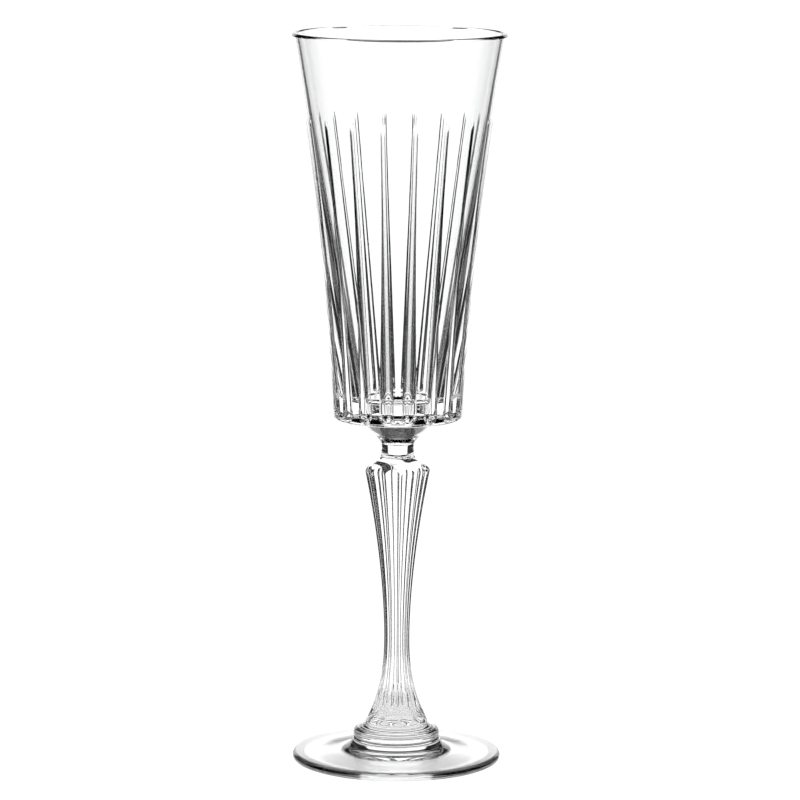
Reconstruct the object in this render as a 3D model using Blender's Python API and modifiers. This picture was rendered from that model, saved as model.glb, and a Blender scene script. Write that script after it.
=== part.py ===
"""Champagne flute in clear crystal glass.

A tall bowl with long cut flutes narrows to a thick base. A short smooth neck collar joins it to a
cut stem, and a pedestal collar joins the stem to a round foot. Everything is turned about one
vertical axis. The origin is the middle of the foot's underside, +Z is up, and lengths are in metres.

The real glass is hot-fused where its pieces meet, so nothing on it moves. Here each piece is a
closed solid of its own, and a narrow gap marks each fused joint.
"""

import math

import bmesh
import bpy
from mathutils import Matrix, Vector

MM = 0.001

# The whole glass
TOTAL_HEIGHT = 240.0 * MM
FUSED_JOINT_GAP = 0.3 * MM
MERGE_DISTANCE = 0.00001

# Heights of the joints between the pieces
FOOT_TO_PEDESTAL = 8.4 * MM
PEDESTAL_TO_STEM = 12.9 * MM
STEM_TO_NECK = 101.5 * MM
NECK_TO_BOWL = 105.6 * MM

# Bowl
RIM_RADIUS = 35.0 * MM
LIP_THICKNESS = 2.0 * MM
BOWL_UNDERSIDE = 113.9 * MM
BOWL_BASE_RADIUS = 21.1 * MM
BOWL_BASE_CORNER = 1.4 * MM
BOWL_BASE_LEAN = 0.047
BOWL_CONE_RADIUS = 14.5 * MM
CAVITY_FLOOR = 120.4 * MM
CAVITY_FLOOR_RADIUS = 12.7 * MM
CAVITY_CORNER = 3.0 * MM
BOWL_FLUTES = 18
BOWL_FLUTE_BOTTOM = 114.6 * MM
BOWL_FLUTE_TIP = 211.5 * MM
BOWL_FLUTE_TIP_HALF_WIDTH = 0.7 * MM
BOWL_FLUTE_WIDTH_SHARE = 0.72
BOWL_FLUTE_DEPTH_SHARE = 1.0

# Neck collar
NECK_RADIUS = 5.35 * MM
NECK_WAIST = 0.12 * MM
NECK_SPREAD = 0.25 * MM

# Stem
SHOULDER_RADIUS = 10.6 * MM
SHOULDER_HEIGHT = 96.4 * MM
STEM_WAIST_RADIUS = 4.15 * MM
STEM_WAIST_HEIGHT = 41.0 * MM
STEM_FLARE_RADIUS = 10.2 * MM
STEM_UPPER_SWELL = 1.75
STEM_LOWER_SWELL = 2.4
STEM_FLUTES = 12
STEM_FLUTE_TURN = math.radians(6.0)
STEM_FLUTE_BOTTOM = 13.6 * MM
STEM_FLUTE_HOLLOW_SHARE = 0.1
STEM_FLUTE_WIDTH_SHARE = 0.94

# Pedestal collar and foot
PEDESTAL_EDGE_RADIUS = 14.2 * MM
PEDESTAL_EDGE_ROUND = 1.6 * MM
PEDESTAL_EDGE_HEIGHT = 9.1 * MM
MOUND_TOP_RADIUS = 14.05 * MM
FOOT_RADIUS = 34.4 * MM
FOOT_EDGE_THICKNESS = 2.7 * MM
FOOT_CROWN = 3.5 * MM
FOOT_FILLET_RADIUS = 18.2 * MM

# How finely the round shapes are divided
BOWL_TURNING_STEPS = 72
TURNING_STEPS = 48
CUTTER_ROUNDNESS = 5

FRONT = -math.pi / 2


def clear_scene():
    """Remove every object that the opening scene holds."""
    for item in list(bpy.data.objects):
        bpy.data.objects.remove(item, do_unlink=True)


def new_collection(name):
    """Make a collection and link it to the scene."""
    collection = bpy.data.collections.new(name)
    bpy.context.scene.collection.children.link(collection)
    return collection


def clear_glass(name, tint):
    """Colourless crystal: smooth, fully clear, with a faint tint of its own for each piece."""
    material = bpy.data.materials.new(name)
    material.use_nodes = True
    shader = material.node_tree.nodes["Principled BSDF"]
    shader.inputs["Base Color"].default_value = tint
    shader.inputs["Roughness"].default_value = 0.02
    shader.inputs["Metallic"].default_value = 0.0
    shader.inputs["Transmission Weight"].default_value = 1.0
    shader.inputs["IOR"].default_value = 1.54
    return material


def arc(centre, radius, start_degrees, end_degrees, pieces):
    """Points round part of a circle in the (radius, height) plane, both ends included."""
    points = []
    for index in range(pieces + 1):
        angle = math.radians(start_degrees + (end_degrees - start_degrees) * index / pieces)
        points.append((centre[0] + radius * math.cos(angle), centre[1] + radius * math.sin(angle)))
    return points


def bend(start, first_pull, second_pull, end, pieces):
    """Points along a cubic Bezier curve, both ends included."""
    points = []
    for index in range(pieces + 1):
        t = index / pieces
        weights = ((1 - t) ** 3, 3 * t * (1 - t) ** 2, 3 * t * t * (1 - t), t ** 3)
        corners = (start, first_pull, second_pull, end)
        r = sum(weight * corner[0] for weight, corner in zip(weights, corners))
        z = sum(weight * corner[1] for weight, corner in zip(weights, corners))
        points.append((r, z))
    return points


def heights(bottom, top, pieces):
    """Evenly spaced heights from bottom to top, both ends included."""
    return [bottom + (top - bottom) * index / pieces for index in range(pieces + 1)]


def bowl_radius(z):
    """The bowl's outer radius: it leans out a little at the base and more and more to the rim."""
    rise = z - BOWL_UNDERSIDE
    full_rise = TOTAL_HEIGHT - BOWL_UNDERSIDE
    spread = RIM_RADIUS - BOWL_BASE_RADIUS - BOWL_BASE_LEAN * full_rise
    return BOWL_BASE_RADIUS + BOWL_BASE_LEAN * rise + spread * (rise / full_rise) ** 2


def cavity_radius(z):
    """The inside of the bowl: a plain cone from the floor to the lip."""
    share = (z - CAVITY_FLOOR) / (TOTAL_HEIGHT - CAVITY_FLOOR)
    return CAVITY_FLOOR_RADIUS + (RIM_RADIUS - LIP_THICKNESS - CAVITY_FLOOR_RADIUS) * share


def stem_radius(z):
    """The stem's radius: it swells from the waist up to the shoulder and down to the flare."""
    if z >= STEM_WAIST_HEIGHT:
        share = (z - STEM_WAIST_HEIGHT) / (SHOULDER_HEIGHT - STEM_WAIST_HEIGHT)
        return STEM_WAIST_RADIUS + (SHOULDER_RADIUS - STEM_WAIST_RADIUS) * share ** STEM_UPPER_SWELL
    share = (STEM_WAIST_HEIGHT - z) / (STEM_WAIST_HEIGHT - PEDESTAL_TO_STEM)
    return STEM_WAIST_RADIUS + (STEM_FLARE_RADIUS - STEM_WAIST_RADIUS) * share ** STEM_LOWER_SWELL


def turned(name, outline, steps, material, collection):
    """Turn an outline once round the glass's axis. It starts and ends on the axis."""
    mesh = bpy.data.meshes.new(name)
    corners = [(r, 0.0, z) for r, z in outline]
    edges = [(index, index + 1) for index in range(len(corners) - 1)]
    mesh.from_pydata(corners, edges, [])
    mesh.materials.append(material)
    piece = bpy.data.objects.new(name, mesh)
    collection.objects.link(piece)
    screw = piece.modifiers.new("turning", "SCREW")
    screw.angle = math.tau
    screw.steps = steps
    screw.render_steps = steps
    screw.use_merge_vertices = True
    screw.merge_threshold = MERGE_DISTANCE
    screw.use_smooth_shade = True
    return piece


def cutting_wheel_path(name, path, collection):
    """A round bar along a path of (point, radius) pairs, as one closed mesh, for cutting a flute."""
    curve = bpy.data.curves.new(name, "CURVE")
    curve.dimensions = "3D"
    curve.bevel_depth = 1.0
    curve.bevel_resolution = CUTTER_ROUNDNESS
    curve.use_fill_caps = True
    spline = curve.splines.new("POLY")
    spline.points.add(len(path) - 1)
    for spline_point, (point, radius) in zip(spline.points, path):
        spline_point.co = (point.x, point.y, point.z, 1.0)
        spline_point.radius = radius
    bar = bpy.data.objects.new(name + "_bar", curve)
    collection.objects.link(bar)
    bpy.context.view_layer.update()
    evaluated = bar.evaluated_get(bpy.context.evaluated_depsgraph_get())
    mesh = bpy.data.meshes.new_from_object(evaluated)
    mesh.name = name
    shape = bmesh.new()
    shape.from_mesh(mesh)
    bmesh.ops.remove_doubles(shape, verts=shape.verts, dist=MERGE_DISTANCE)
    bmesh.ops.recalc_face_normals(shape, faces=shape.faces)
    shape.to_mesh(mesh)
    shape.free()
    bpy.data.objects.remove(bar, do_unlink=True)
    return mesh


def cut_flutes(piece, mesh, count, first_angle, collection):
    """Cut the same flute count times round a piece, each with its own Boolean."""
    for index in range(count):
        cutter = bpy.data.objects.new(f"{mesh.name}_{index + 1}", mesh)
        cutter.matrix_world = Matrix.Rotation(first_angle + math.tau * index / count, 4, "Z")
        cutter.hide_render = True
        cutter.display_type = "WIRE"
        collection.objects.link(cutter)
        cut = piece.modifiers.new(f"flute_{index + 1}", "BOOLEAN")
        cut.operation = "DIFFERENCE"
        cut.solver = "EXACT"
        cut.object = cutter


def hollow_circle(radius, half_angle, hollow):
    """The circle that hollows a round section between two ridges.

    The ridges stand at half_angle to each side, and hollow is how far the circle dips below the
    straight line between them. Returns its centre's distance from the axis, and its radius.
    """
    half_width = radius * math.sin(half_angle)
    circle = (half_width ** 2 + hollow ** 2) / (2 * hollow)
    centre = radius * math.cos(half_angle) - hollow + circle
    return centre, circle


def bowl_flute_half_width(z):
    """Half the width of a bowl flute: narrow at its tip and growing faster and faster downwards."""
    down = (BOWL_FLUTE_TIP - z) / (BOWL_FLUTE_TIP - BOWL_UNDERSIDE)
    full = bowl_radius(z) * math.sin(math.pi / BOWL_FLUTES) * BOWL_FLUTE_WIDTH_SHARE
    return BOWL_FLUTE_TIP_HALF_WIDTH + (full - BOWL_FLUTE_TIP_HALF_WIDTH) * down ** 2


def bowl_flute_mesh(collection):
    """A bowl flute's cutter: a round scoop at the base, closing to a narrow tip high on the wall."""
    scoop = bowl_flute_half_width(BOWL_FLUTE_BOTTOM)
    stations = []
    for angle in (math.radians(20), math.radians(50)):
        stations.append((BOWL_FLUTE_BOTTOM + scoop * (1 - math.cos(angle)), math.sin(angle)))
    stations += [(z, 1.0) for z in heights(BOWL_FLUTE_BOTTOM + scoop, BOWL_FLUTE_TIP, 12)]
    path = []
    for z, share in stations:
        half_width = bowl_flute_half_width(z) * share
        half_angle = math.asin(half_width / bowl_radius(z))
        hollow = half_width * BOWL_FLUTE_DEPTH_SHARE
        centre, circle = hollow_circle(bowl_radius(z), half_angle, hollow)
        path.append((Vector((centre, 0.0, z)), circle))
    return cutting_wheel_path("bowl_flute_cutter", path, collection)


def stem_flute_mesh(collection):
    """A stem flute's cutter: it follows the stem and keeps the ridges sharp all the way."""
    path = []
    half_angle = STEM_FLUTE_WIDTH_SHARE * math.pi / STEM_FLUTES
    for z in heights(STEM_FLUTE_BOTTOM, SHOULDER_HEIGHT, 16):
        radius = stem_radius(z)
        centre, circle = hollow_circle(radius, half_angle, STEM_FLUTE_HOLLOW_SHARE * radius)
        path.append((Vector((centre, 0.0, z)), circle))
    return cutting_wheel_path("stem_flute_cutter", path, collection)


def bowl_outline():
    """Up the inside of the cavity, over the lip, down the outside and in along the underside."""
    half_lip = LIP_THICKNESS / 2
    lip_centre = (RIM_RADIUS - half_lip, TOTAL_HEIGHT - half_lip)
    corner_radius = cavity_radius(CAVITY_FLOOR + CAVITY_CORNER) - CAVITY_CORNER
    corner_centre = (corner_radius, CAVITY_FLOOR + CAVITY_CORNER)
    base_side = bowl_radius(BOWL_UNDERSIDE + BOWL_BASE_CORNER)
    base_centre = (base_side - BOWL_BASE_CORNER, BOWL_UNDERSIDE + BOWL_BASE_CORNER)
    outline = [(0.0, CAVITY_FLOOR)]
    outline += arc(corner_centre, CAVITY_CORNER, -90, 0, 4)
    wall_bottom = CAVITY_FLOOR + CAVITY_CORNER
    wall_top = TOTAL_HEIGHT - half_lip
    outline += [(cavity_radius(z), z) for z in heights(wall_bottom, wall_top, 5)[1:-1]]
    outline += arc(lip_centre, half_lip, 180, 0, 4)
    wall_bottom = BOWL_UNDERSIDE + BOWL_BASE_CORNER
    outline += [(bowl_radius(z), z) for z in reversed(heights(wall_bottom, wall_top, 9)[1:-1])]
    outline += arc(base_centre, BOWL_BASE_CORNER, 0, -90, 4)
    joint = NECK_TO_BOWL + FUSED_JOINT_GAP / 2
    outline += bend((BOWL_CONE_RADIUS, BOWL_UNDERSIDE),
                    (BOWL_CONE_RADIUS - 4.5 * MM, BOWL_UNDERSIDE - 3.5 * MM),
                    (NECK_RADIUS + 0.65 * MM, joint + 1.9 * MM),
                    (NECK_RADIUS, joint), 7)
    outline += [(0.0, joint)]
    return outline


def neck_outline():
    """A short smooth collar, very slightly waisted."""
    top = NECK_TO_BOWL - FUSED_JOINT_GAP / 2
    bottom = STEM_TO_NECK + FUSED_JOINT_GAP / 2
    middle = (top + bottom) / 2
    waist = (NECK_RADIUS - NECK_WAIST, middle)
    side = bend((NECK_RADIUS, top), waist, waist, (NECK_RADIUS + NECK_SPREAD, bottom), 4)
    return [(0.0, top)] + side + [(0.0, bottom)]


def stem_outline():
    """A round shoulder, then the long waist, then the flare down to the pedestal."""
    top = STEM_TO_NECK - FUSED_JOINT_GAP / 2
    bottom = PEDESTAL_TO_STEM + FUSED_JOINT_GAP / 2
    outline = [(0.0, top)]
    outline += bend((NECK_RADIUS + NECK_SPREAD, top),
                    (NECK_RADIUS + 0.5 * MM, top - 2.4 * MM),
                    (SHOULDER_RADIUS - 0.3 * MM, SHOULDER_HEIGHT + 2.6 * MM),
                    (SHOULDER_RADIUS, SHOULDER_HEIGHT), 6)
    outline += [(stem_radius(z), z) for z in reversed(heights(bottom, SHOULDER_HEIGHT, 16)[:-1])]
    outline += [(0.0, bottom)]
    return outline


def pedestal_outline():
    """A smooth band that spreads from the stem's flare to a rounded edge over the foot's mound."""
    top = PEDESTAL_TO_STEM - FUSED_JOINT_GAP / 2
    bottom = FOOT_TO_PEDESTAL + FUSED_JOINT_GAP / 2
    edge_centre = (PEDESTAL_EDGE_RADIUS - PEDESTAL_EDGE_ROUND, PEDESTAL_EDGE_HEIGHT)
    edge_top = PEDESTAL_EDGE_HEIGHT + PEDESTAL_EDGE_ROUND
    edge_end = math.degrees(math.asin((bottom - PEDESTAL_EDGE_HEIGHT) / PEDESTAL_EDGE_ROUND))
    outline = [(0.0, top)]
    outline += bend((STEM_FLARE_RADIUS, top),
                    (STEM_FLARE_RADIUS + 0.2 * MM, top - 1.3 * MM),
                    (edge_centre[0] - 1.2 * MM, edge_top + 0.1 * MM),
                    (edge_centre[0], edge_top), 5)
    outline += arc(edge_centre, PEDESTAL_EDGE_ROUND, 90, edge_end, 6)[1:]
    outline += [(0.0, bottom)]
    return outline


def foot_outline():
    """The mound under the pedestal, a shallow crown out to a round edge, and a flat underside."""
    top = FOOT_TO_PEDESTAL - FUSED_JOINT_GAP / 2
    half_edge = FOOT_EDGE_THICKNESS / 2
    edge_centre = (FOOT_RADIUS - half_edge, half_edge)
    outline = [(0.0, top)]
    outline += bend((MOUND_TOP_RADIUS, top),
                    (MOUND_TOP_RADIUS + 0.3 * MM, top - 1.9 * MM),
                    (FOOT_FILLET_RADIUS - 3.0 * MM, FOOT_CROWN + 0.4 * MM),
                    (FOOT_FILLET_RADIUS, FOOT_CROWN), 7)
    outline += arc(edge_centre, half_edge, 90, -90, 8)
    outline += [(0.0, 0.0)]
    return outline


def build():
    """Make the five pieces from the rim down, and cut the flutes."""
    clear_scene()
    pieces = new_collection("champagne_flute")
    cutters = new_collection("flute_cutters")
    frame = bpy.data.objects.new("champagne_flute_frame", None)
    pieces.objects.link(frame)

    plan = (("bowl", bowl_outline(), BOWL_TURNING_STEPS, (0.97, 0.98, 0.98, 1.0)),
            ("neck_collar", neck_outline(), TURNING_STEPS, (0.95, 0.96, 0.96, 1.0)),
            ("stem", stem_outline(), TURNING_STEPS, (0.96, 0.97, 0.97, 1.0)),
            ("pedestal_collar", pedestal_outline(), TURNING_STEPS, (0.95, 0.96, 0.97, 1.0)),
            ("foot", foot_outline(), TURNING_STEPS, (0.97, 0.97, 0.98, 1.0)))
    made = {}
    for name, outline, steps, tint in plan:
        glass = clear_glass(name + "_glass", tint)
        made[name] = turned(name, outline, steps, glass, pieces)
        made[name].parent = frame

    bowl_pitch = math.tau / BOWL_FLUTES
    cut_flutes(made["bowl"], bowl_flute_mesh(cutters), BOWL_FLUTES, FRONT + bowl_pitch / 2, cutters)
    stem_first = FRONT + STEM_FLUTE_TURN + math.pi / STEM_FLUTES
    cut_flutes(made["stem"], stem_flute_mesh(cutters), STEM_FLUTES, stem_first, cutters)


build()
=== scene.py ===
# %% [markdown]
# # A champagne flute in cut crystal
#
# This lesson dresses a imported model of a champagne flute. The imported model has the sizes, the
# joints and the collision. Here each of its five pieces gets a fine skin, a glass finish and the
# light that makes clear glass readable.
#
# Clear glass has almost no colour of its own. What the eye reads as glass is how its skin bends
# the room behind it, so the work goes into smooth, exact surfaces. Every skin is worked out with
# numpy as a function of two parameters: one goes round the axis, the other goes along an outline.

# %% Load the frame
import math

import bmesh
import bpy
import numpy as np
from mathutils import Matrix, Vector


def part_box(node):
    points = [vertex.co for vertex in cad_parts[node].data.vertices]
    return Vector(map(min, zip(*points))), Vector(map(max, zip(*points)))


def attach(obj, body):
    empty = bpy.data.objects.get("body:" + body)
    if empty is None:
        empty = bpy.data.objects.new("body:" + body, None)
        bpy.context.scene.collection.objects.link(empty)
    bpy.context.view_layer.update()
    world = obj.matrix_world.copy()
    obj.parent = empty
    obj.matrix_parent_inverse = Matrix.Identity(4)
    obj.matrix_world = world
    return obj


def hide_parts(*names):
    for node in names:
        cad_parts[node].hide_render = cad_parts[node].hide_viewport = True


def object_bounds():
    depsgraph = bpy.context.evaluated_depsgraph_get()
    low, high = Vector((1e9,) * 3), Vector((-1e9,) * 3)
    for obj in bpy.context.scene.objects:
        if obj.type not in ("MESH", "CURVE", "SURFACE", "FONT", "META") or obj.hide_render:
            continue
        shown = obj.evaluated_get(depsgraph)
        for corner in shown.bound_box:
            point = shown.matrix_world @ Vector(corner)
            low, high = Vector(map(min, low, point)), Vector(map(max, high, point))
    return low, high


MM = 0.001
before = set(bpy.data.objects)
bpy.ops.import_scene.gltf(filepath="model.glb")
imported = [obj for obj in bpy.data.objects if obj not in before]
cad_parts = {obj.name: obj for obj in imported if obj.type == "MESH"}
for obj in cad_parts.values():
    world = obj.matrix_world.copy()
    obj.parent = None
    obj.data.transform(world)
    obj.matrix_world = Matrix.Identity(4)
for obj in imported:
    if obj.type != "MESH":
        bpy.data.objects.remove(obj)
cad_low, cad_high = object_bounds()
print("CAD box in mm:", [round(v / MM, 1) for v in (*cad_low, *cad_high)])

# %% [markdown]
# ## Where the pieces meet
#
# On the real glass the five pieces are fused while hot, and no line shows between them. The packed
# solids keep a narrow gap at each fused joint, so the joint's height is half-way across that gap.
# The rim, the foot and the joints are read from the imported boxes, and the rest of the outline hangs
# between them.

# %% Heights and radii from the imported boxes
def gap_height(lower, upper):
    """The height half-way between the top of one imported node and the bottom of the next."""
    return (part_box(lower)[1][2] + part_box(upper)[0][2]) / 2


total_height = cad_high.z
rim_radius = cad_high.x
foot_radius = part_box("foot")[1][0]
foot_joint = gap_height("foot", "pedestal_collar")
pedestal_joint = gap_height("pedestal_collar", "stem")
neck_joint = gap_height("stem", "neck_collar")
bowl_joint = gap_height("neck_collar", "bowl")
NECK_SPREAD = 0.25 * MM
neck_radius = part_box("neck_collar")[1][0] - NECK_SPREAD
pedestal_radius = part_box("pedestal_collar")[1][0]
joints = (foot_joint, pedestal_joint, neck_joint, bowl_joint)
print("joint heights in mm:", [round(z / MM, 2) for z in joints])

# %% [markdown]
# ## From a grid of points to a closed skin
#
# Blender could turn an outline with its Screw modifier, but the cut flutes change the section all
# the way up, so the skin is easier to state as a formula. A skin is a stack of rings. Each ring has
# the same number of points, and the first and last rings close on a single point of the axis.

# %% Helpers for closed skins
FRONT = -math.pi / 2


def signed_volume(corners, triangles):
    """Sum of the tetrahedra from the origin to each triangle: positive when faces point outwards."""
    a, b, c = (corners[triangles[:, k]] for k in range(3))
    return np.einsum("ij,ij->i", a, np.cross(b, c)).sum() / 6


def closed_skin(name, angle, radius, height, joint_rings):
    """A closed mesh from rings of points.

    A point is (radius cos angle, radius sin angle, height), with one row for each ring and one
    column for each step round the axis. A fan to a pole on the axis closes each end.
    joint_rings holds the bands (between ring k and ring k + 1) that lie in a fused joint.
    """
    rings, columns = radius.shape
    corners = np.stack((radius * np.cos(angle), radius * np.sin(angle), height), axis=-1)
    poles = np.array([[0.0, 0.0, height[0].mean()], [0.0, 0.0, height[-1].mean()]])
    points = np.concatenate((corners.reshape(-1, 3), poles))
    ring, column = np.meshgrid(np.arange(rings - 1), np.arange(columns), indexing="ij")
    after = (column + 1) % columns
    quads = np.stack((ring * columns + column, ring * columns + after,
                      (ring + 1) * columns + after, (ring + 1) * columns + column), axis=-1)
    quads = quads.reshape(-1, 4)
    around = np.arange(columns)
    beside = (around + 1) % columns
    first, last = rings * columns, rings * columns + 1
    start_fan = np.stack((np.full(columns, first), beside, around), axis=-1)
    end_fan = np.stack((np.full(columns, last), (rings - 1) * columns + around,
                        (rings - 1) * columns + beside), axis=-1)
    triangles = np.concatenate((quads[:, [0, 1, 2]], quads[:, [0, 2, 3]], start_fan, end_fan))
    if signed_volume(points, triangles) < 0:
        quads, start_fan, end_fan = quads[:, ::-1], start_fan[:, ::-1], end_fan[:, ::-1]
    mesh = bpy.data.meshes.new(name)
    faces = quads.tolist() + start_fan.tolist() + end_fan.tolist()
    mesh.from_pydata(points, [], faces)
    in_joint = np.isin(ring.reshape(-1), joint_rings)
    slot = np.zeros(len(faces), dtype=np.int32)
    slot[:len(quads)] = in_joint
    slot[len(quads):len(quads) + columns] = 0 in joint_rings
    slot[len(quads) + columns:] = rings - 2 in joint_rings
    mesh.polygons.foreach_set("material_index", slot)
    mesh.shade_smooth()
    mesh.set_sharp_from_angle(angle=math.radians(55))
    mesh.update()
    piece = bpy.data.objects.new(name, mesh)
    bpy.context.scene.collection.objects.link(piece)
    print(f"{name}: {len(faces)} faces, {2 * len(quads) + 2 * columns} triangles")
    return piece


def even_angles(rings, columns):
    """The same evenly spaced angles for every ring, starting at the front."""
    return np.broadcast_to(FRONT + math.tau * np.arange(columns) / columns, (rings, columns))


# %% [markdown]
# ## Outlines
#
# An outline is a list of (radius, height) stretches joined end to end: arcs for rounded corners,
# Bezier bends for the sweeps, and rows of a formula for the walls. The same small
# vocabulary draws every piece, so the seams between them match.

# %% Outline vocabulary
def arc(centre, radius, start_degrees, end_degrees, pieces):
    """Part of a circle: centre + radius (cos t, sin t), with t from start to end in equal steps."""
    t = np.radians(np.linspace(start_degrees, end_degrees, pieces + 1))
    return np.stack((centre[0] + radius * np.cos(t), centre[1] + radius * np.sin(t)), axis=-1)


def bend(start, first_pull, second_pull, end, pieces):
    """A cubic Bezier curve: the four corners weighted by the Bernstein polynomials of t."""
    t = np.linspace(0, 1, pieces + 1)[:, None]
    a, b, c, d = (np.array(corner) for corner in (start, first_pull, second_pull, end))
    return (1 - t) ** 3 * a + 3 * t * (1 - t) ** 2 * b + 3 * t * t * (1 - t) * c + t ** 3 * d


def wall(radius_at, bottom, top, pieces):
    """Points (radius_at(z), z) at evenly spaced heights from bottom to top."""
    z = np.linspace(bottom, top, pieces + 1)
    return np.stack((radius_at(z), z), axis=-1)


def disc(radius, height, pieces):
    """A flat disc's outline, from near the axis out to its edge."""
    return np.stack((radius * np.arange(1, pieces + 1) / pieces, np.full(pieces, height)), axis=-1)


def joined(*stretches):
    """Stretches end to end, leaving out a point that repeats the one before it."""
    line = np.concatenate(stretches)
    step = np.linalg.norm(np.diff(line, axis=0), axis=1)
    return line[np.concatenate(([True], step > 1e-7))]


# %% [markdown]
# ## Flutes
#
# A flute is a groove that is pressed or ground into the turned wall. Its section here is a parabola
# hung between the two edges: steep where it meets the wall and round in the middle. The steep sides
# are what the eye sees. A ray that reaches one from inside the glass is thrown sideways out of the
# bright background, and the side turns dark. Between two flutes a land of the turned wall is left,
# and it stays clear.
#
# Stating the groove by its own width makes it exact: columns of points crowd towards the edges,
# where the section bends most, and no Boolean is needed.

# %% Flute geometry
FLUTE_COLUMN_SHARE = 0.66
COLUMN_CROWDING = 1.5
WIDEST_FLUTE_SHARE = 0.985
NARROWEST_FLUTE_SHARE = 0.02


def fluted_section(plain, half_angle, hollow, count, per_flute):
    """Angles and radii of every ring of a turned wall with count flutes cut in.

    A column's step t runs from -1 to 1 across one flute and half a land on each side. Within the
    flute u = 1 - (1 - |t| / share)^1.5 goes from 0 in the middle to 1 at the edge, and the point is
    x = w u, y = R cos(a) - h (1 - u^2), with half width w = R sin(a). Its angle is atan2(x, y) and
    its radius is the length of (x, y). On the land the radius is R and the angle runs on to half
    the pitch.
    """
    pitch = math.tau / count
    step = (np.arange(per_flute) + 0.5) / per_flute * 2 - 1
    side, size = np.sign(step), np.abs(step)
    edge = np.minimum(half_angle, pitch / 2 * WIDEST_FLUTE_SHARE)[:, None]
    wall_radius, depth = plain[:, None], hollow[:, None]
    across = 1 - (1 - np.minimum(size / FLUTE_COLUMN_SHARE, 1)) ** COLUMN_CROWDING
    x = wall_radius * np.sin(edge) * across
    y = wall_radius * np.cos(edge) - depth * (1 - across ** 2)
    in_land = size > FLUTE_COLUMN_SHARE
    beyond = np.maximum(size - FLUTE_COLUMN_SHARE, 0) / (1 - FLUTE_COLUMN_SHARE)
    beyond = beyond ** COLUMN_CROWDING
    turn = np.where(in_land, edge + (pitch / 2 - edge) * beyond, np.arctan2(x, y))
    radius = np.where(in_land, wall_radius, np.hypot(x, y))
    middles = FRONT + pitch * (np.arange(count) + 0.5)
    angles = np.tile(side * turn, (1, count)) + np.repeat(middles, per_flute)[None, :]
    return angles, np.tile(radius, (1, count))


# %% [markdown]
# ## The bowl
#
# The inside of the bowl is a plain smooth cone, and the outside leans out a little more and more
# towards the rim. The wall is thin at the lip and thick at the base. Long flutes rise from
# the base and fade out below the rim. They end at the bottom in round scoops.
#
# A Screw modifier and Booleans would give this shape too, but the scoops and the fading tips would
# be faceted, and glass shows every facet. Here the width and the depth of a flute are formulas of
# the height, so every ring of the wall gets its own exact section.

# %% Bowl sizes
BOWL_FLUTES = 18
LIP_THICKNESS = 2.0 * MM
BOWL_UNDERSIDE = 113.9 * MM
BOWL_BASE_RADIUS = 21.1 * MM
BOWL_BASE_CORNER = 1.4 * MM
BOWL_BASE_LEAN = 0.047
BOWL_CONE_RADIUS = 14.5 * MM
CONE_FOOT_PULL = (0.65 * MM, 1.9 * MM)
CONE_TOP_PULL = (4.5 * MM, 3.5 * MM)
CAVITY_FLOOR = 120.4 * MM
CAVITY_FLOOR_RADIUS = 12.7 * MM
CAVITY_CORNER = 3.0 * MM
FLUTE_END = 114.6 * MM
FLUTE_TIP = 211.5 * MM
FLUTE_TIP_HALF_WIDTH = 0.7 * MM
FLUTE_TIP_FADE = 1.2 * MM
FLUTE_SPREAD = 2.0
FLUTE_BASE_SHARE = 0.72
FLUTE_TIP_DEPTH_SHARE = 0.6
FLUTE_BASE_DEPTH_SHARE = 1.1
COLUMNS_PER_BOWL_FLUTE = 32


def bowl_radius(z):
    """Base radius + lean u + spread (u / U)^2, where u is the height above the underside."""
    rise = z - BOWL_UNDERSIDE
    full_rise = total_height - BOWL_UNDERSIDE
    spread = rim_radius - BOWL_BASE_RADIUS - BOWL_BASE_LEAN * full_rise
    return BOWL_BASE_RADIUS + BOWL_BASE_LEAN * rise + spread * (rise / full_rise) ** 2


def cavity_radius(z):
    """A straight cone from the cavity's floor to the inside of the lip."""
    share = (z - CAVITY_FLOOR) / (total_height - CAVITY_FLOOR)
    return CAVITY_FLOOR_RADIUS + (rim_radius - LIP_THICKNESS - CAVITY_FLOOR_RADIUS) * share


wall_at_tips = bowl_radius(FLUTE_TIP) - cavity_radius(FLUTE_TIP)
print("wall at the flutes' tips in mm:", round(wall_at_tips / MM, 2))

# %% Bowl flutes along the height
def bowl_flute_shape(z):
    """Half angle and hollow of a bowl flute at height z.

    Half width = tip + (full - tip) d^p, where d goes from 0 at the tip to 1 at the base. The
    hollow is a share of the half width that grows with d, so the flute's edges get steeper on the
    way down. In the last stretch above the bottom end both shrink as a quarter circle, which
    makes the round scoop, and at the top the hollow alone fades out.
    """
    radius = bowl_radius(z)
    full = radius * math.sin(math.pi / BOWL_FLUTES) * FLUTE_BASE_SHARE
    down = np.clip((FLUTE_TIP - z) / (FLUTE_TIP - BOWL_UNDERSIDE), 0, 1)
    half_width = FLUTE_TIP_HALF_WIDTH + (full - FLUTE_TIP_HALF_WIDTH) * down ** FLUTE_SPREAD
    scoop = bowl_radius(FLUTE_END) * math.pi / BOWL_FLUTES * FLUTE_BASE_SHARE
    into_end = np.clip((FLUTE_END + scoop - z) / scoop, 0, 1)
    round_end = np.sqrt(np.maximum(1 - into_end ** 2, 0))
    tip_fade = np.clip((FLUTE_TIP - z) / FLUTE_TIP_FADE, 0, 1)
    tip_fade = tip_fade * tip_fade * (3 - 2 * tip_fade)
    half_width = half_width * np.maximum(round_end, NARROWEST_FLUTE_SHARE)
    depth_share = FLUTE_TIP_DEPTH_SHARE + (FLUTE_BASE_DEPTH_SHARE - FLUTE_TIP_DEPTH_SHARE) * down
    hollow = half_width * depth_share * tip_fade
    return np.arcsin(half_width / radius), hollow


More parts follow.
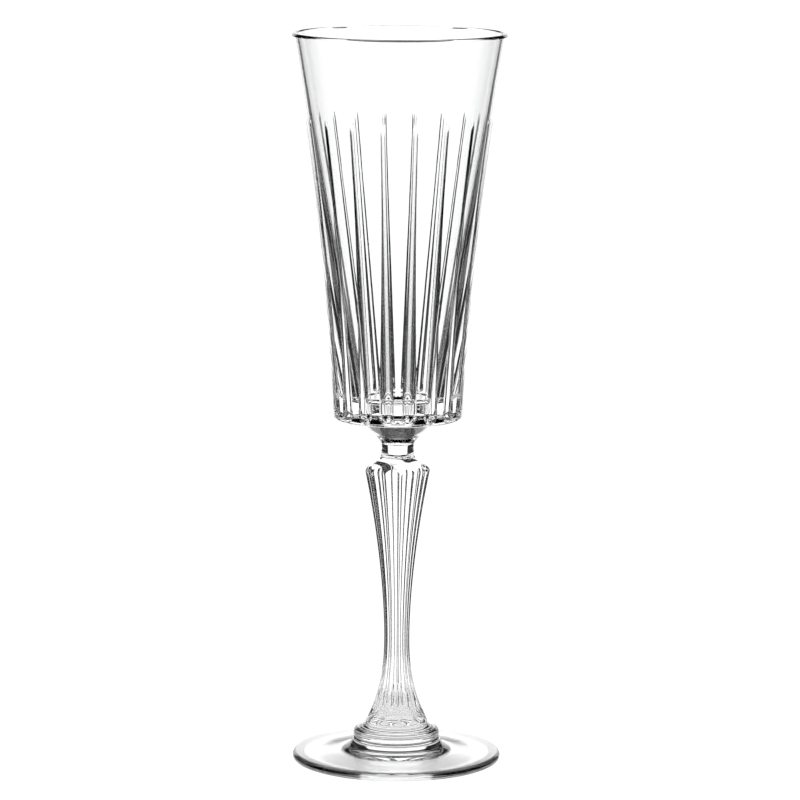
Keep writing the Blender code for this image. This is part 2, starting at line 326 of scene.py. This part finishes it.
# %% Bowl outline and skin
def bowl_lines():
    """The bowl's outline from the joint up the outside, over the lip and down the inside."""
    half_lip = LIP_THICKNESS / 2
    lip_centre = (rim_radius - half_lip, total_height - half_lip)
    corner_top = BOWL_UNDERSIDE + BOWL_BASE_CORNER
    base_centre = (bowl_radius(corner_top) - BOWL_BASE_CORNER, corner_top)
    floor_top = CAVITY_FLOOR + CAVITY_CORNER
    floor_centre = (cavity_radius(floor_top) - CAVITY_CORNER, floor_top)
    joint = disc(neck_radius, bowl_joint, 3)
    cone = bend((neck_radius, bowl_joint),
                (neck_radius + CONE_FOOT_PULL[0], bowl_joint + CONE_FOOT_PULL[1]),
                (BOWL_CONE_RADIUS - CONE_TOP_PULL[0], BOWL_UNDERSIDE - CONE_TOP_PULL[1]),
                (BOWL_CONE_RADIUS, BOWL_UNDERSIDE), 24)
    under = np.array([[BOWL_CONE_RADIUS + 0.5 * MM, BOWL_UNDERSIDE]])
    corner = arc(base_centre, BOWL_BASE_CORNER, -90, 0, 12)
    outside = wall(bowl_radius, corner_top, total_height - half_lip, 86)
    lip = arc(lip_centre, half_lip, 0, 180, 12)
    inside = wall(cavity_radius, floor_top, total_height - half_lip, 14)[::-1]
    floor_corner = arc(floor_centre, CAVITY_CORNER, 0, -90, 10)
    floor = disc(floor_centre[0], CAVITY_FLOOR, 4)[::-1]
    return joined(joint, cone, under, corner, outside, lip, inside, floor_corner, floor), len(joint)


def make_bowl():
    """The bowl's closed skin: the outline turned round the axis, with the flutes cut outside."""
    line, joint_points = bowl_lines()
    plain, z = line[:, 0], line[:, 1]
    half_angle, hollow = bowl_flute_shape(z)
    angle, cut = fluted_section(plain, half_angle, hollow, BOWL_FLUTES, COLUMNS_PER_BOWL_FLUTE)
    outer = np.arange(len(line)) <= int(np.argmax(z))
    outer &= plain > BOWL_BASE_RADIUS - BOWL_BASE_CORNER
    radius = np.where(outer[:, None], cut, plain[:, None])
    height = np.broadcast_to(z[:, None], radius.shape)
    return closed_skin("crystal_bowl", angle, radius, height, range(joint_points - 1))


bowl = make_bowl()

# %% [markdown]
# ## The neck collar
#
# A short smooth button of glass joins the bowl to the stem. It is slightly waisted where the hot
# glass was pulled. Nothing is cut into it, so it could be a plain cylinder with a loop cut scaled
# in. A bend with even columns does the same, and its ends meet the cone and the shoulder exactly.

# %% Neck collar
NECK_WAIST = 0.12 * MM
NECK_COLUMNS = 192


def make_neck():
    """A disc at each fused joint and a slightly waisted side between them."""
    half_way = (neck_joint + bowl_joint) / 2
    side = bend((neck_radius + NECK_SPREAD, neck_joint), (neck_radius - NECK_WAIST, half_way),
                (neck_radius - NECK_WAIST, half_way + 1.0 * MM), (neck_radius, bowl_joint), 30)
    bottom, top = disc(neck_radius + NECK_SPREAD, neck_joint, 3), disc(neck_radius, bowl_joint, 3)[::-1]
    line = joined(bottom, side, top)
    radius = np.broadcast_to(line[:, :1], (len(line), NECK_COLUMNS))
    height = np.broadcast_to(line[:, 1:], radius.shape)
    joints = [0, 1, len(line) - 3, len(line) - 2]
    return closed_skin("crystal_neck_collar", even_angles(*radius.shape), radius, height, joints)


neck = make_neck()

# %% [markdown]
# ## The stem
#
# The stem is a solid waisted bar. Its flutes meet in sharp ridges all the way from the round
# shoulder to the flare, where they end in scallops.
#
# A loft through a few star-shaped sections would soften the ridges between them. The flute formula
# of the bowl is used again instead, with flutes as wide as their share of the round, so that
# neighbours meet in a ridge at every height.

# %% Stem sizes
STEM_FLUTES = 12
STEM_TURN = math.radians(6.0)
SHOULDER_RADIUS = 10.6 * MM
SHOULDER_HEIGHT = 96.4 * MM
STEM_WAIST_RADIUS = 4.15 * MM
STEM_WAIST_HEIGHT = 41.0 * MM
STEM_FLARE_RADIUS = 10.2 * MM
STEM_UPPER_SWELL = 1.75
STEM_LOWER_SWELL = 2.4
STEM_HOLLOW_SHARE = 0.08
STEM_FLUTE_TOP = 98.4 * MM
STEM_FLUTE_END = 13.3 * MM
STEM_TOP_SCOOP = 2.6 * MM
STEM_END_SCOOP = 2.4 * MM
SHOULDER_LOW_PULL = (0.3 * MM, 2.6 * MM)
SHOULDER_TOP_PULL = (0.5 * MM, 2.4 * MM)
COLUMNS_PER_STEM_FLUTE = 40


def stem_radius(z):
    """Waist radius + swell t^p, with one power above the waist and another below it."""
    up = np.clip((z - STEM_WAIST_HEIGHT) / (SHOULDER_HEIGHT - STEM_WAIST_HEIGHT), 0, None)
    down = np.clip((STEM_WAIST_HEIGHT - z) / (STEM_WAIST_HEIGHT - pedestal_joint), 0, None)
    swell = (SHOULDER_RADIUS - STEM_WAIST_RADIUS) * up ** STEM_UPPER_SWELL
    flare = (STEM_FLARE_RADIUS - STEM_WAIST_RADIUS) * down ** STEM_LOWER_SWELL
    return STEM_WAIST_RADIUS + swell + flare


shoulder_and_waist = stem_radius(np.array((SHOULDER_HEIGHT, STEM_WAIST_HEIGHT)))
print("stem radius at the shoulder and at the waist in mm:", np.round(shoulder_and_waist / MM, 2))

# %% Stem skin
def stem_flute_shape(z, plain):
    """Half angle and hollow of a stem flute at each ring.

    The half angle is half the pitch times e, and the hollow is a share of the radius times e^2. The
    end factor e = sqrt(1 - t^2) is 1 along the stem and drops to 0 in a quarter circle over the
    scoop at the shoulder and the scoop at the flare.
    """
    pitch = math.tau / STEM_FLUTES
    up = np.clip((z - (STEM_FLUTE_TOP - STEM_TOP_SCOOP)) / STEM_TOP_SCOOP, 0, 1)
    down = np.clip((STEM_FLUTE_END + STEM_END_SCOOP - z) / STEM_END_SCOOP, 0, 1)
    ends = np.sqrt(np.maximum(1 - up ** 2, 0)) * np.sqrt(np.maximum(1 - down ** 2, 0))
    half_angle = pitch / 2 * np.maximum(ends, NARROWEST_FLUTE_SHARE)
    hollow = STEM_HOLLOW_SHARE * plain * ends ** 2
    return half_angle, hollow


def make_stem():
    """Joint disc, flare, waist and shoulder, up to the joint under the neck collar."""
    shoulder = bend((SHOULDER_RADIUS, SHOULDER_HEIGHT),
                    (SHOULDER_RADIUS - SHOULDER_LOW_PULL[0], SHOULDER_HEIGHT + SHOULDER_LOW_PULL[1]),
                    (neck_radius + SHOULDER_TOP_PULL[0], neck_joint - SHOULDER_TOP_PULL[1]),
                    (neck_radius + NECK_SPREAD, neck_joint), 40)
    bottom = disc(stem_radius(np.array(pedestal_joint)), pedestal_joint, 3)
    top = disc(neck_radius + NECK_SPREAD, neck_joint, 3)[::-1]
    line = joined(bottom, wall(stem_radius, pedestal_joint, SHOULDER_HEIGHT, 130), shoulder, top)
    plain, z = line[:, 0], line[:, 1]
    half_angle, hollow = stem_flute_shape(z, plain)
    angle, cut = fluted_section(plain, half_angle, hollow, STEM_FLUTES, COLUMNS_PER_STEM_FLUTE)
    side = (np.arange(len(line)) > 2) & (np.arange(len(line)) < len(line) - 3)
    radius = np.where(side[:, None], cut, plain[:, None])
    height = np.broadcast_to(z[:, None], radius.shape)
    joints = [0, 1, len(line) - 3, len(line) - 2]
    return closed_skin("crystal_stem", angle + STEM_TURN, radius, height, joints)


stem = make_stem()

# %% [markdown]
# ## The pedestal collar and the foot
#
# The stem's flare stands on a smooth band with a rounded edge, and the band sits on a mound in the
# middle of the foot. The foot is nearly flat, rises a little towards the mound, and has a fully
# rounded edge. Its underside is slightly hollow inside the ring that it stands on, so that it
# doesn't rock on a table. All of it is turned, so each piece is one outline and a number of columns.

# %% Pedestal collar
PEDESTAL_EDGE_ROUND = 1.6 * MM
PEDESTAL_EDGE_HEIGHT = 9.1 * MM
PEDESTAL_COLUMNS = 256


def make_pedestal():
    """A disc at each joint, a sweep out to the rounded edge, and the edge itself as half a circle."""
    edge_centre = (pedestal_radius - PEDESTAL_EDGE_ROUND, PEDESTAL_EDGE_HEIGHT)
    edge_top = edge_centre[1] + PEDESTAL_EDGE_ROUND
    edge_start = math.degrees(math.asin((foot_joint - PEDESTAL_EDGE_HEIGHT) / PEDESTAL_EDGE_ROUND))
    edge = arc(edge_centre, PEDESTAL_EDGE_ROUND, edge_start, 90, 24)
    bottom = disc(edge[0, 0], foot_joint, 3)
    flare = float(stem_radius(np.array(pedestal_joint)))
    sweep = bend((edge_centre[0], edge_top), (edge_centre[0] - 1.2 * MM, edge_top + 0.1 * MM),
                 (flare + 0.2 * MM, pedestal_joint - 1.3 * MM), (flare, pedestal_joint), 24)
    line = joined(bottom, edge, sweep, disc(flare, pedestal_joint, 3)[::-1])
    radius = np.broadcast_to(line[:, :1], (len(line), PEDESTAL_COLUMNS))
    height = np.broadcast_to(line[:, 1:], radius.shape)
    joints = [0, 1, len(line) - 3, len(line) - 2]
    return closed_skin("crystal_pedestal_collar", even_angles(*radius.shape), radius, height, joints)


pedestal = make_pedestal()

# %% Foot
MOUND_TOP_RADIUS = 14.05 * MM
FOOT_EDGE_THICKNESS = 2.7 * MM
FOOT_CROWN = 3.5 * MM
FOOT_FILLET_RADIUS = 18.2 * MM
RESTING_RING_RADIUS = 30.5 * MM
FOOT_HOLLOW = 0.8 * MM
FOOT_COLUMNS = 320


def make_foot():
    """Hollow underside, rounded edge, shallow crown and mound, closed by the joint disc."""
    half_edge = FOOT_EDGE_THICKNESS / 2
    top_radius = MOUND_TOP_RADIUS
    hollow = bend((FOOT_FILLET_RADIUS, FOOT_HOLLOW), (FOOT_FILLET_RADIUS + 2.0 * MM, FOOT_HOLLOW),
                  (RESTING_RING_RADIUS - 4.0 * MM, 0.0), (RESTING_RING_RADIUS, 0.0), 16)
    ring = np.array([[foot_radius - half_edge, 0.0]])
    under = joined(disc(FOOT_FILLET_RADIUS, FOOT_HOLLOW, 12), hollow, ring)
    edge = arc((foot_radius - half_edge, half_edge), half_edge, -90, 90, 24)
    crown_edge = (foot_radius - half_edge, FOOT_EDGE_THICKNESS)
    crown = np.linspace(crown_edge, (FOOT_FILLET_RADIUS, FOOT_CROWN), 20)
    mound = bend((FOOT_FILLET_RADIUS, FOOT_CROWN), (FOOT_FILLET_RADIUS - 3.0 * MM, FOOT_CROWN + 0.4 * MM),
                 (top_radius + 0.3 * MM, foot_joint - 1.9 * MM), (top_radius, foot_joint), 40)
    line = joined(under, edge, crown, mound, disc(top_radius, foot_joint, 3)[::-1])
    radius = np.broadcast_to(line[:, :1], (len(line), FOOT_COLUMNS))
    height = np.broadcast_to(line[:, 1:], radius.shape)
    joints = [len(line) - 3, len(line) - 2]
    return closed_skin("crystal_foot", even_angles(*radius.shape), radius, height, joints)


foot = make_foot()

# %% [markdown]
# ## Finishes
#
# The glass is colourless and melted smooth, so its skin is a mirror and its body is clear. Real cut
# crystal is still never perfectly even, and a flat, perfect shader looks like plastic. Four small
# things are added here, each as a mask worked out from the piece's own coordinates:
#
# - hand polishing leaves the skin very slightly wavy, in broad soft swells;
# - the polishing wheel runs along the flutes and leaves faint streaks in the same direction;
# - washing and wiping leave a few fine hairline scratches, in patches;
# - the foot's underside is ground where it stands, which gives a frosted ring with fine circular
#   marks.
#
# The swells and streaks go into the bump height, and the wear goes into the roughness. Crystal of
# this kind has a refractive index of about 1.54. The bump is kept to microns, because a height that
# would look right on metal would break every clean line that is seen through the glass.

# %% Finish constants
GLASS_IOR = 1.54
STREAK_STRETCH = 0.06
STREAK_SCALE = 700.0
STREAK_SHARE = 0.12
SCRATCH_SCALE = 60.0
SCRATCH_CREST = 0.9993
SCRATCH_DISTORTION = 9.0
SCRATCH_DETAIL = 3.0
SCRATCH_PATCH_SCALE = 45.0
SCRATCH_PATCH_SHARE = 0.56
SCRATCH_ROUGHNESS = 0.1
TINT_SCALE = 18.0
CLEAR_TINT = (1.0, 1.0, 1.0, 1.0)
COOL_TINT = (0.985, 0.992, 0.99, 1.0)
BUMP_DISTANCE = 0.01 * MM
GROUND_RING = (30.3 * MM, 33.2 * MM)
GROUND_TOP = 0.06 * MM
GROUND_MARKS_PER_METRE = 60000.0
GROUND_MARK_DEPTH = 0.15
GROUND_ROUGHNESS = 0.32

# %% Small maths helper
def calculated(tree, operation, *values):
    """One maths node. A value may be a number or another node's output."""
    node = tree.nodes.new("ShaderNodeMath")
    node.operation = operation
    for socket, value in zip(node.inputs, values):
        if isinstance(value, (int, float)):
            socket.default_value = value
        else:
            tree.links.new(value, socket)
    return node.outputs[0]


# %% Shared surface detail
def detail_group():
    """Object coordinates in, and out come a skin height, a wear mask and a faint tint.

    Height is broad noise plus streaks: noise that is stretched along the axis by scaling z down.
    Wear is 1 on thin curved scratches, where a wave texture's crest passes a threshold.
    """
    group = bpy.data.node_groups.new("crystal_skin_detail", "ShaderNodeTree")
    face = group.interface
    face.new_socket("Place", in_out="INPUT", socket_type="NodeSocketVector")
    face.new_socket("Swell Size", in_out="INPUT", socket_type="NodeSocketFloat")
    face.new_socket("Height", in_out="OUTPUT", socket_type="NodeSocketFloat")
    face.new_socket("Wear", in_out="OUTPUT", socket_type="NodeSocketFloat")
    face.new_socket("Tint", in_out="OUTPUT", socket_type="NodeSocketColor")
    source = group.nodes.new("NodeGroupInput")
    result = group.nodes.new("NodeGroupOutput")
    links = group.links

    def noise(place, scale, detail):
        """Fractal noise with the given scale in cells per metre."""
        texture = group.nodes.new("ShaderNodeTexNoise")
        texture.inputs["Detail"].default_value = detail
        links.new(place, texture.inputs["Vector"])
        if isinstance(scale, (int, float)):
            texture.inputs["Scale"].default_value = scale
        else:
            links.new(scale, texture.inputs["Scale"])
        return texture.outputs["Fac"]

    stretched = group.nodes.new("ShaderNodeMapping")
    stretched.inputs["Scale"].default_value = (1.0, 1.0, STREAK_STRETCH)
    links.new(source.outputs["Place"], stretched.inputs["Vector"])
    swells = noise(source.outputs["Place"], source.outputs["Swell Size"], 1.0)
    streaks = noise(stretched.outputs["Vector"], STREAK_SCALE, 2.0)
    height = calculated(group, "ADD", swells, calculated(group, "MULTIPLY", streaks, STREAK_SHARE))
    links.new(height, result.inputs["Height"])

    scratches = group.nodes.new("ShaderNodeTexWave")
    scratches.inputs["Scale"].default_value = SCRATCH_SCALE
    scratches.inputs["Distortion"].default_value = SCRATCH_DISTORTION
    scratches.inputs["Detail"].default_value = SCRATCH_DETAIL
    links.new(source.outputs["Place"], scratches.inputs["Vector"])
    crest = calculated(group, "GREATER_THAN", scratches.outputs["Fac"], SCRATCH_CREST)
    cloudy = noise(source.outputs["Place"], SCRATCH_PATCH_SCALE, 2.0)
    patches = calculated(group, "GREATER_THAN", cloudy, SCRATCH_PATCH_SHARE)
    links.new(calculated(group, "MULTIPLY", crest, patches), result.inputs["Wear"])

    tint = group.nodes.new("ShaderNodeMix")
    tint.data_type = "RGBA"
    tint.inputs["A"].default_value = CLEAR_TINT
    tint.inputs["B"].default_value = COOL_TINT
    links.new(noise(source.outputs["Place"], TINT_SCALE, 1.0), tint.inputs["Factor"])
    links.new(tint.outputs["Result"], result.inputs["Tint"])
    print(group.name, "has", len(group.nodes), "nodes")
    return group


# %% [markdown]
# Each piece has its own mix. The thin bowl gets the broadest swells. The stem and the collars are
# thicker and were shaped by hand with tools, so their swells are smaller. The foot alone has the
# ground ring.

# %% Glass
def ground_ring(tree, place):
    """1 on the ground resting ring: between two radii and right at the bottom of the foot."""
    split = tree.nodes.new("ShaderNodeSeparateXYZ")
    tree.links.new(place, split.inputs[0])
    across = calculated(tree, "POWER", split.outputs["X"], 2.0)
    along = calculated(tree, "POWER", split.outputs["Y"], 2.0)
    radius = calculated(tree, "SQRT", calculated(tree, "ADD", across, along))
    beyond = calculated(tree, "GREATER_THAN", radius, GROUND_RING[0])
    within = calculated(tree, "LESS_THAN", radius, GROUND_RING[1])
    low = calculated(tree, "LESS_THAN", split.outputs["Z"], GROUND_TOP)
    marks = calculated(tree, "SINE", calculated(tree, "MULTIPLY", radius, GROUND_MARKS_PER_METRE))
    worn = calculated(tree, "MULTIPLY_ADD", marks, GROUND_MARK_DEPTH, 1 - GROUND_MARK_DEPTH)
    ring = calculated(tree, "MULTIPLY", calculated(tree, "MULTIPLY", beyond, within), low)
    return calculated(tree, "MULTIPLY", ring, worn)


def clear_glass(name, detail, swell_size, bump, ground):
    """Colourless crystal: clear, with the shared detail in its tint, roughness and bump."""
    material = bpy.data.materials.new(name)
    material.use_nodes = True
    tree = material.node_tree
    shader = tree.nodes["Principled BSDF"]
    shader.inputs["Transmission Weight"].default_value = 1.0
    shader.inputs["IOR"].default_value = GLASS_IOR
    where = tree.nodes.new("ShaderNodeTexCoord")
    skin = tree.nodes.new("ShaderNodeGroup")
    skin.node_tree = detail
    skin.inputs["Swell Size"].default_value = swell_size
    tree.links.new(where.outputs["Object"], skin.inputs["Place"])
    tree.links.new(skin.outputs["Tint"], shader.inputs["Base Color"])
    roughness = calculated(tree, "MULTIPLY", skin.outputs["Wear"], SCRATCH_ROUGHNESS)
    if ground:
        frosted = calculated(tree, "MULTIPLY", ground_ring(tree, where.outputs["Object"]), GROUND_ROUGHNESS)
        roughness = calculated(tree, "MAXIMUM", roughness, frosted)
    tree.links.new(roughness, shader.inputs["Roughness"])
    relief = tree.nodes.new("ShaderNodeBump")
    relief.inputs["Strength"].default_value = bump
    relief.inputs["Distance"].default_value = BUMP_DISTANCE
    tree.links.new(skin.outputs["Height"], relief.inputs["Height"])
    tree.links.new(relief.outputs["Normal"], shader.inputs["Normal"])
    return material


def fused_joint():
    """Fused glass shows no boundary, so the faces inside a joint let everything through."""
    material = bpy.data.materials.new("fused_joint_inside_glass")
    material.use_nodes = True
    shader = material.node_tree.nodes["Principled BSDF"]
    shader.inputs["Alpha"].default_value = 0.0
    return material


# %% Dress the pieces
detail = detail_group()
joint_material = fused_joint()
finishes = ((bowl, "bowl", 60.0, 0.8, False), (neck, "neck_collar", 120.0, 0.6, False),
            (stem, "stem", 110.0, 0.6, False), (pedestal, "pedestal_collar", 110.0, 0.6, False),
            (foot, "foot", 70.0, 0.7, True))
for piece, node, swell_size, bump, ground in finishes:
    piece.data.materials.append(clear_glass(node + "_crystal", detail, swell_size, bump, ground))
    piece.data.materials.append(joint_material)
    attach(piece, "root")
    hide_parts(node)
    print(node, "swells per metre:", swell_size, "ground ring:", ground)

# %% [markdown]
# ## Camera
#
# The camera stands well back with a long lens, so the rim and the foot open only a little as
# ellipses. It looks slightly down at the glass. The numbers are the distance from the glass's axis,
# the height over the table, the downward tilt, and the small roll and turn that are left in any
# real set-up.

# %% Camera
CAMERA_DISTANCE = 1.3476
CAMERA_HEIGHT = 0.3329
CAMERA_TILT = math.radians(8.981)
CAMERA_ROLL = math.radians(0.30)
CAMERA_AIM = math.radians(-0.028)
CAMERA_LENS = 187.6

camera_data = bpy.data.cameras.new("camera")
camera_data.lens = CAMERA_LENS
camera_data.sensor_width = 36.0
camera = bpy.data.objects.new("camera", camera_data)
bpy.context.scene.collection.objects.link(camera)
camera.matrix_world = (Matrix.Translation((0.0, -CAMERA_DISTANCE, CAMERA_HEIGHT))
                       @ Matrix.Rotation(CAMERA_AIM, 4, "Z")
                       @ Matrix.Rotation(math.pi / 2 - CAMERA_TILT, 4, "X")
                       @ Matrix.Rotation(CAMERA_ROLL, 4, "Z"))
bpy.context.scene.camera = camera
print("camera looks down by", round(math.degrees(CAMERA_TILT), 2), "degrees with a", CAMERA_LENS, "mm lens")

# %% [markdown]
# ## Light tent
#
# Clear glass is lit by its surroundings, and it has to be seen against a white background. The
# usual way is a bright-field tent: a wide white cloth behind and below, and black panels beside the
# camera and over the top. Rays that pass nearly straight through the glass land on the white cloth
# and the glass vanishes. Rays that a steep edge throws aside land on the black panels and draw the
# edge as a dark line.
#
# The tent is a large sphere round the glass, and it hangs from the camera so that it works the same
# way from every side. Its pattern is a product of two ramps, one over the angle to the side and one
# over the angle above the horizon, and a third ramp adds the white table and the ceiling light that
# are the same all round. The camera itself sees a plain white background.

# %% Light tent
TENT_RADIUS = 3.0
TENT_LIGHT = 1.3
TENT_SEEN_WHITE = 1.05
TENT_AZIMUTH = ((0.0, 1.0), (26.0, 1.0), (30.0, 0.02), (180.0, 0.02))
TENT_ALL_ROUND = ((-90.0, 1.0), (-40.0, 1.0), (-34.0, 0.0), (36.0, 0.0), (42.0, 1.0), (90.0, 1.0))
TENT_BAND = ((-90.0, 1.0), (14.0, 1.0), (18.0, 0.05), (90.0, 0.05))


def graded(tree, source, stops, start, end):
    """A colour ramp over an angle: start to end is scaled to 0..1, and each stop sets a grey."""
    share = tree.nodes.new("ShaderNodeMapRange")
    share.inputs["From Min"].default_value = start
    share.inputs["From Max"].default_value = end
    tree.links.new(source, share.inputs["Value"])
    ramp = tree.nodes.new("ShaderNodeValToRGB")
    elements = ramp.color_ramp.elements
    while len(elements) < len(stops):
        elements.new(0.5)
    for element, (degrees, value) in zip(elements, stops):
        element.position = (degrees - start) / (end - start)
        element.color = (value, value, value, 1)
    tree.links.new(share.outputs["Result"], ramp.inputs["Fac"])
    return ramp.outputs["Color"]


def tent_cloth():
    """White cloth behind, dark panels to each side and above it, a table and a ceiling light.

    With the direction levelled, azimuth = atan2(|x|, -z) is the angle from straight behind, and
    height = asin(y) is the angle above the horizon. Cloth = max(panels x band, all round).
    """
    material = bpy.data.materials.new("light_tent_cloth")
    material.use_nodes = True
    tree = material.node_tree
    tree.nodes.clear()
    where = tree.nodes.new("ShaderNodeTexCoord")
    unit = tree.nodes.new("ShaderNodeVectorMath")
    unit.operation = "NORMALIZE"
    tree.links.new(where.outputs["Object"], unit.inputs[0])
    level = tree.nodes.new("ShaderNodeVectorRotate")
    level.rotation_type = "X_AXIS"
    level.inputs["Angle"].default_value = -CAMERA_TILT
    tree.links.new(unit.outputs["Vector"], level.inputs["Vector"])
    split = tree.nodes.new("ShaderNodeSeparateXYZ")
    tree.links.new(level.outputs[0], split.inputs[0])
    side = calculated(tree, "ABSOLUTE", split.outputs["X"])
    behind = calculated(tree, "MULTIPLY", split.outputs["Z"], -1.0)
    azimuth = calculated(tree, "DEGREES", calculated(tree, "ARCTAN2", side, behind))
    height = calculated(tree, "DEGREES", calculated(tree, "ARCSINE", split.outputs["Y"]))
    panels = graded(tree, azimuth, TENT_AZIMUTH, 0.0, 180.0)
    all_round = graded(tree, height, TENT_ALL_ROUND, -90.0, 90.0)
    band = graded(tree, height, TENT_BAND, -90.0, 90.0)
    cloth = calculated(tree, "MAXIMUM", calculated(tree, "MULTIPLY", panels, band), all_round)
    glow = tree.nodes.new("ShaderNodeEmission")
    tree.links.new(calculated(tree, "MULTIPLY", cloth, TENT_LIGHT), glow.inputs["Strength"])
    plain = tree.nodes.new("ShaderNodeEmission")
    plain.inputs["Strength"].default_value = TENT_SEEN_WHITE
    path = tree.nodes.new("ShaderNodeLightPath")
    choose = tree.nodes.new("ShaderNodeMixShader")
    tree.links.new(path.outputs["Is Camera Ray"], choose.inputs["Fac"])
    tree.links.new(glow.outputs[0], choose.inputs[1])
    tree.links.new(plain.outputs[0], choose.inputs[2])
    output = tree.nodes.new("ShaderNodeOutputMaterial")
    tree.links.new(choose.outputs[0], output.inputs["Surface"])
    return material


tent_mesh = bpy.data.meshes.new("light_tent")
tent_shape = bmesh.new()
bmesh.ops.create_uvsphere(tent_shape, u_segments=96, v_segments=48, radius=TENT_RADIUS)
tent_shape.to_mesh(tent_mesh)
tent_shape.free()
tent_mesh.materials.append(tent_cloth())
tent = bpy.data.objects.new("light_tent", tent_mesh)
bpy.context.scene.collection.objects.link(tent)
tent.parent = camera
tent.location = (0.0, 0.0, -CAMERA_DISTANCE)
print("white cloth to each side of straight behind:", TENT_AZIMUTH[1][0], "degrees")

# %% [markdown]
# ## Floor
#
# The glass stands on a small pale table top that glows, because a real table in a tent is lit from
# all round. It is a disc about half as wide again as the foot, and the white of the tent goes on
# past it. A larger disc would hide the dark parts of the tent from the foot and the stem. It glows
# less for rays that come through the glass than for the camera, which leaves the foot its grey
# edges.

# %% Floor
FLOOR_RADIUS = 0.05
FLOOR_GLOW = 0.8
FLOOR_GLOW_THROUGH_GLASS = 0.42
FLOOR_DROP = 0.05 * MM


def pale_floor():
    """A plain pale table top that glows, and glows less for rays that come through the glass."""
    material = bpy.data.materials.new("pale_table_top")
    material.use_nodes = True
    tree = material.node_tree
    shader = tree.nodes["Principled BSDF"]
    shader.inputs["Base Color"].default_value = (0.9, 0.9, 0.9, 1)
    shader.inputs["Roughness"].default_value = 0.35
    shader.inputs["Emission Color"].default_value = (1, 1, 1, 1)
    path = tree.nodes.new("ShaderNodeLightPath")
    strength = tree.nodes.new("ShaderNodeMapRange")
    strength.inputs["To Min"].default_value = FLOOR_GLOW_THROUGH_GLASS
    strength.inputs["To Max"].default_value = FLOOR_GLOW
    tree.links.new(path.outputs["Is Camera Ray"], strength.inputs["Value"])
    tree.links.new(strength.outputs["Result"], shader.inputs["Emission Strength"])
    return material


floor_mesh = bpy.data.meshes.new("pale_floor")
floor_shape = bmesh.new()
bmesh.ops.create_circle(floor_shape, cap_ends=True, segments=96, radius=FLOOR_RADIUS)
floor_shape.to_mesh(floor_mesh)
floor_shape.free()
floor_mesh.materials.append(pale_floor())
floor = bpy.data.objects.new("pale_floor", floor_mesh)
floor.location = (0.0, 0.0, -FLOOR_DROP)
bpy.context.scene.collection.objects.link(floor)
bpy.context.scene.view_settings.view_transform = "Standard"
print("table top radius in mm:", FLOOR_RADIUS / MM)
